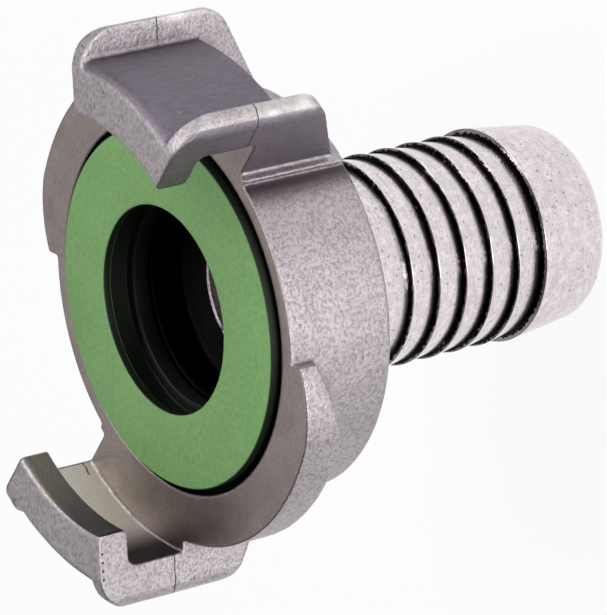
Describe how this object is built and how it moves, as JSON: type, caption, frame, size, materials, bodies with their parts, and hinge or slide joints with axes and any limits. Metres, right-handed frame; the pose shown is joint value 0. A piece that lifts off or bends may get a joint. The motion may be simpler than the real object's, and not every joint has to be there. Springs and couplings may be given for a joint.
{
  "type": "quarter turn claw hose coupling",
  "caption": "Cast stainless quarter turn hose coupling half with hooked claws, ramped flange lobes, a rubber face seal and a ribbed hose tail.",
  "frame": {"origin": "centre of the tail end, on the coupling's axis", "axes": "+Z runs along the coupling's axis out of the mating face; +X points at the middle of one claw"},
  "size_m": [0.0538, 0.0452, 0.0535],
  "materials": {
    "cast_stainless": "shot-blasted investment casting with a turned mating face",
    "green_rubber": "matt moulded rubber"
  },
  "bodies": {
    "root": {"coupling_body": "cast_stainless", "seal_ring": "green_rubber"}
  },
  "joints": []
}
